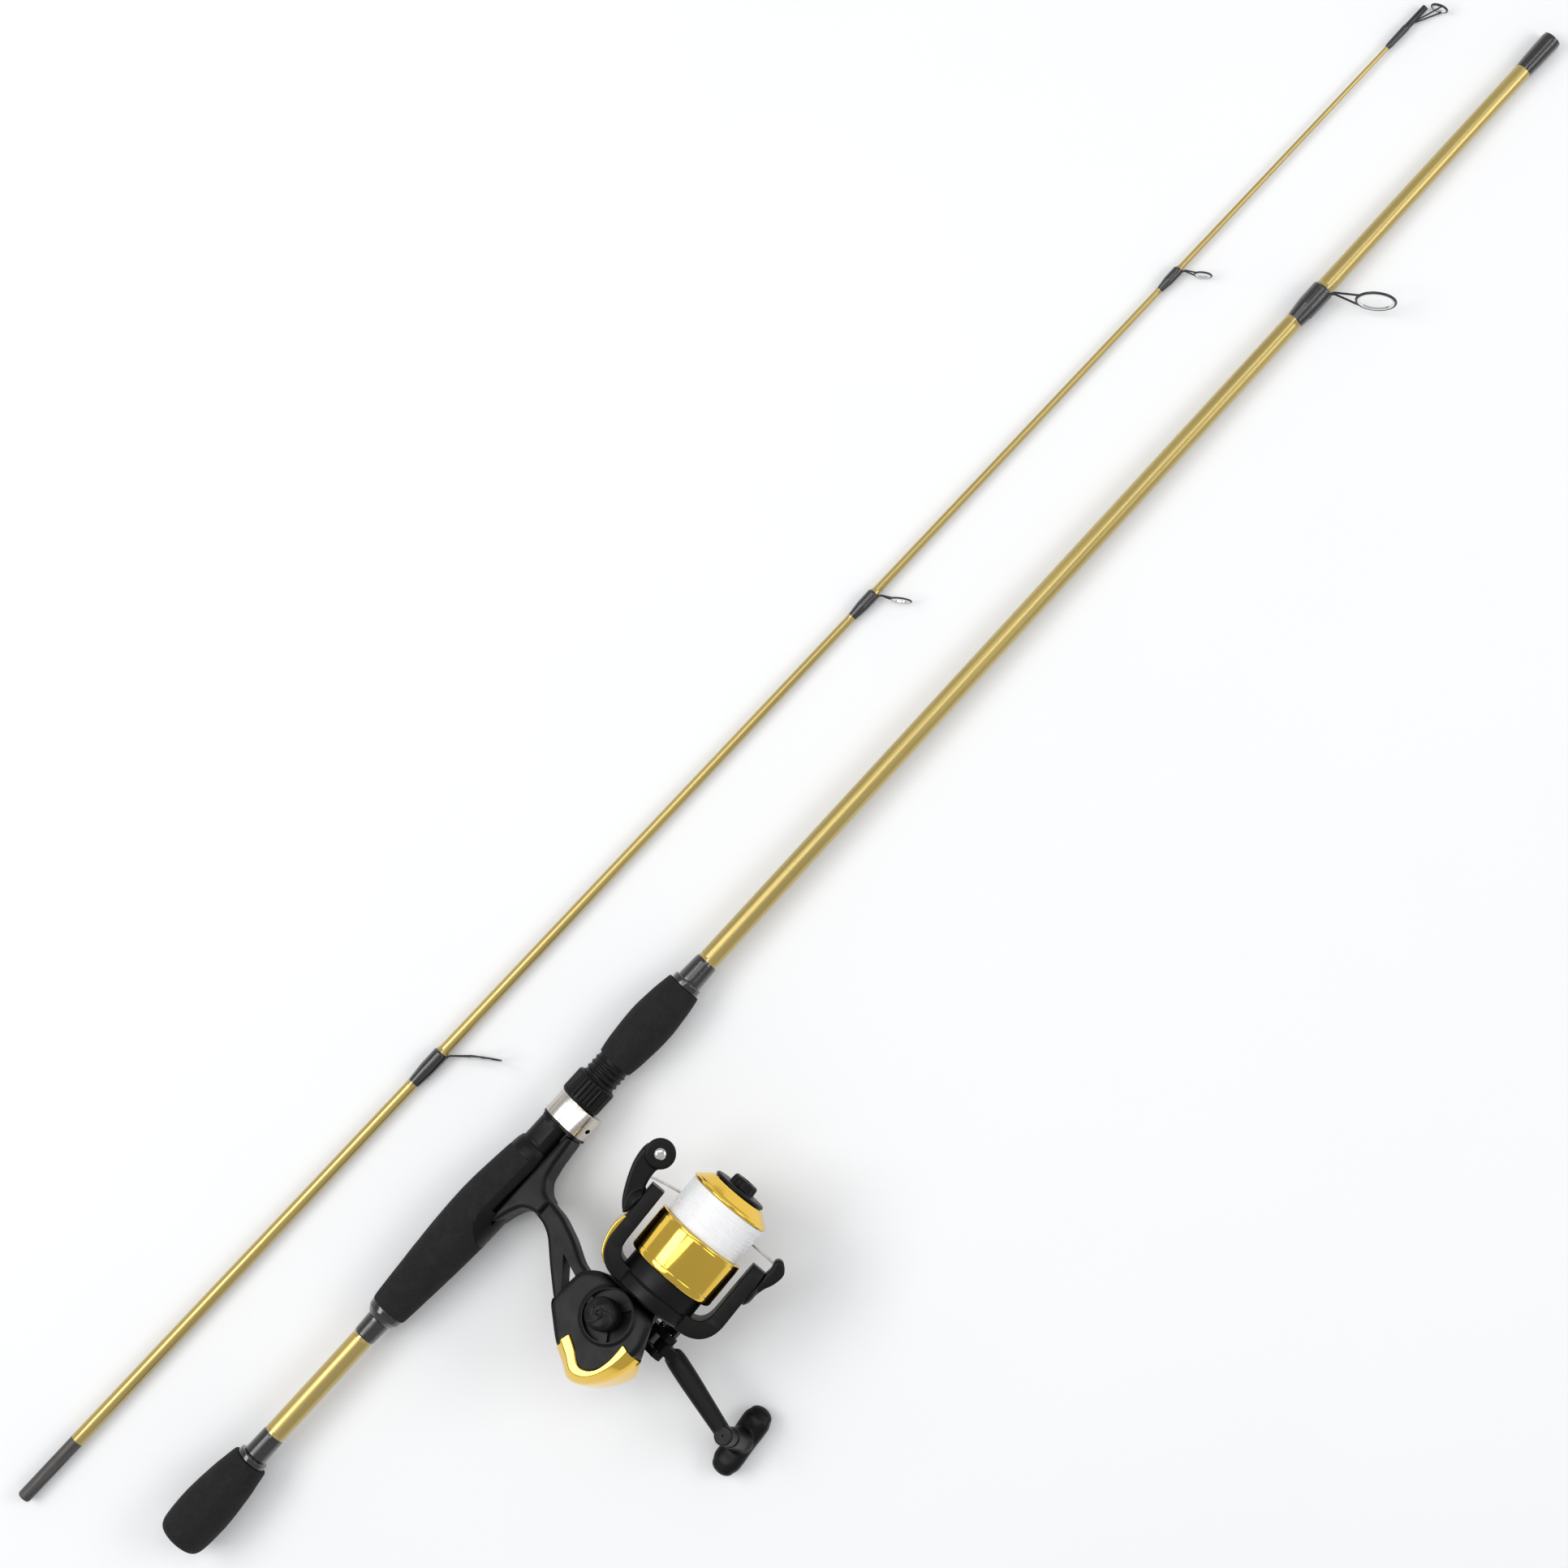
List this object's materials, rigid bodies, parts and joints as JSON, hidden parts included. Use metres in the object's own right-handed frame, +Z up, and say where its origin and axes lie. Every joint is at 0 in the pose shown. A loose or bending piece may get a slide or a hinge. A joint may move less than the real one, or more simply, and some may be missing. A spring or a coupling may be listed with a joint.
{
  "type": "spinning rod and reel",
  "caption": "Two-piece spinning fishing rod laid flat in two sections, with a gold and black fixed-spool reel mounted under foam grips.",
  "frame": {"origin": "centre of the footprint on the surface that the rod lies on", "axes": "+X along the butt section from the butt to the tip, +Z up from the surface, -Y towards the reel"},
  "size_m": [1.0396, 0.2544, 0.0812],
  "materials": {
    "blank": "satin champagne-gold lacquer on a glass-fibre blank",
    "foam": "fine matte EVA foam",
    "gloss_black": "glossy black thread wraps and trim",
    "black_plastic": "satin moulded black plastic",
    "hood_steel": "turned stainless band",
    "bright_steel": "plated steel",
    "guide_wire": "black coated wire",
    "guide_ring": "polished ring",
    "spigot": "bare ground fibre",
    "gold": "gold-tinted bright plating",
    "line": "wound clear nylon line",
    "brass": "machined brass",
    "gear_metal": "die-cast",
    "inner_plastic": "natural acetal",
    "roller_chrome": "polished"
  },
  "bodies": {
    "butt_section": {"butt_blank": "blank", "ferrule_socket": "blank", "butt_grip": "foam", "grip_checks": "gloss_black", "butt_wraps": "gloss_black", "fore_wrap": "gloss_black", "rear_grip": "foam", "reel_seat": "black_plastic", "fore_grip": "foam", "guide_1_wrap": "gloss_black", "guide_1_frame": "guide_wire", "guide_1_ring": "guide_ring", "ferrule_wrap": "gloss_black", "reel_body": "black_plastic", "side_cover": "black_plastic", "rear_cover": "gold", "cover_screws": "bright_steel", "drive_bushes": "brass", "pinion_bearing": "bright_steel", "oscillation_gear": "inner_plastic"},
    "hood": {"sliding_hood": "hood_steel", "hood_liner": "black_plastic"},
    "nut": {"locking_nut": "black_plastic"},
    "crank": {"drive_gear": "gear_metal", "shaft_cap": "black_plastic", "handle_joint": "black_plastic", "handle_hinge_pin": "bright_steel", "joint_screw": "bright_steel"},
    "handle": {"handle_arm": "black_plastic", "knob_spindle": "bright_steel"},
    "knob": {"handle_knob": "black_plastic"},
    "rotor": {"pinion": "brass", "rotor": "black_plastic", "rotor_nut": "bright_steel", "rotor_arm_cover": "gold"},
    "bail": {"bail_arm": "black_plastic", "bail_wire": "bright_steel", "bail_lever": "black_plastic", "roller_screw": "bright_steel"},
    "roller": {"line_roller": "roller_chrome"},
    "shaft": {"main_shaft": "bright_steel", "oscillation_slider": "inner_plastic"},
    "spool": {"spool": "gold", "line_winding": "line", "drag_washers": "inner_plastic"},
    "drag": {"drag_knob": "black_plastic"},
    "tip_section": {"ferrule_spigot": "spigot", "tip_blank": "blank", "guide_2_wrap": "gloss_black", "guide_2_frame": "guide_wire", "guide_2_ring": "guide_ring", "guide_3_wrap": "gloss_black", "guide_3_frame": "guide_wire", "guide_3_ring": "guide_ring", "guide_4_wrap": "gloss_black", "guide_4_frame": "guide_wire", "guide_4_ring": "guide_ring", "tip_top_wrap": "gloss_black", "tip_top_frame": "guide_wire", "tip_top_ring": "guide_ring"}
  },
  "joints": [
    {"name": "hood_slide", "type": "slide", "parent": "butt_section", "child": "hood", "axis": [0.9999, 0, -0.0112], "range_m": [0, 0.009]},
    {"name": "nut_turn", "type": "hinge", "parent": "hood", "child": "nut", "pos_m": [-0.18084, 0.05387, 0.01279], "axis": [0.9999, 0, -0.0112], "range_deg": [0, 1081]},
    {"name": "rotor_spin", "type": "hinge", "parent": "butt_section", "child": "rotor", "pos_m": [-0.22536, -0.03344, 0.05216], "axis": [0.9983, 0.0478, -0.0324], "continuous": true},
    {"name": "crank_turn", "type": "hinge", "parent": "butt_section", "child": "crank", "pos_m": [-0.24862, -0.03018, 0.05096], "axis": [-0.0102, -0.4067, -0.9135], "continuous": true},
    {"name": "handle_fold", "type": "hinge", "parent": "crank", "child": "handle", "pos_m": [-0.24893, -0.05578, 0.02296], "axis": [0.9999, 0, -0.0112], "range_deg": [0, 90]},
    {"name": "knob_spin", "type": "hinge", "parent": "handle", "child": "knob", "pos_m": [-0.25935, -0.11574, 0.01255], "axis": [-0.0102, -0.4067, -0.9135], "continuous": true},
    {"name": "bail_open", "type": "hinge", "parent": "rotor", "child": "bail", "pos_m": [-0.19741, -0.0321, 0.05125], "axis": [0.0478, -0.9989, -0.001], "range_deg": [0, 115]},
    {"name": "roller_spin", "type": "hinge", "parent": "bail", "child": "roller", "pos_m": [-0.17678, 0.00943, 0.05056], "axis": [-0.0324, -0.0005, -0.9995], "continuous": true},
    {"name": "spool_oscillation", "type": "slide", "parent": "butt_section", "child": "shaft", "axis": [0.9983, 0.0478, -0.0324], "range_m": [-0.004, 0.008]},
    {"name": "spool_slip", "type": "hinge", "parent": "shaft", "child": "spool", "pos_m": [-0.19042, -0.03177, 0.05102], "axis": [0.9983, 0.0478, -0.0324], "continuous": true},
    {"name": "drag_turn", "type": "hinge", "parent": "shaft", "child": "drag", "pos_m": [-0.16446, -0.03053, 0.05018], "axis": [0.9983, 0.0478, -0.0324], "range_deg": [-360, 360]},
    {"name": "tip_section_lift", "type": "slide", "parent": "butt_section", "child": "tip_section", "axis": [0, 0, 1], "range_m": [0, 0.25]}
  ],
  "couplings": [
    {"joint": "nut_turn", "follows": "hood_slide", "rad_per_m": 2094.4},
    {"joint": "crank_turn", "follows": "rotor_spin", "ratio": 0.19231}
  ]
}
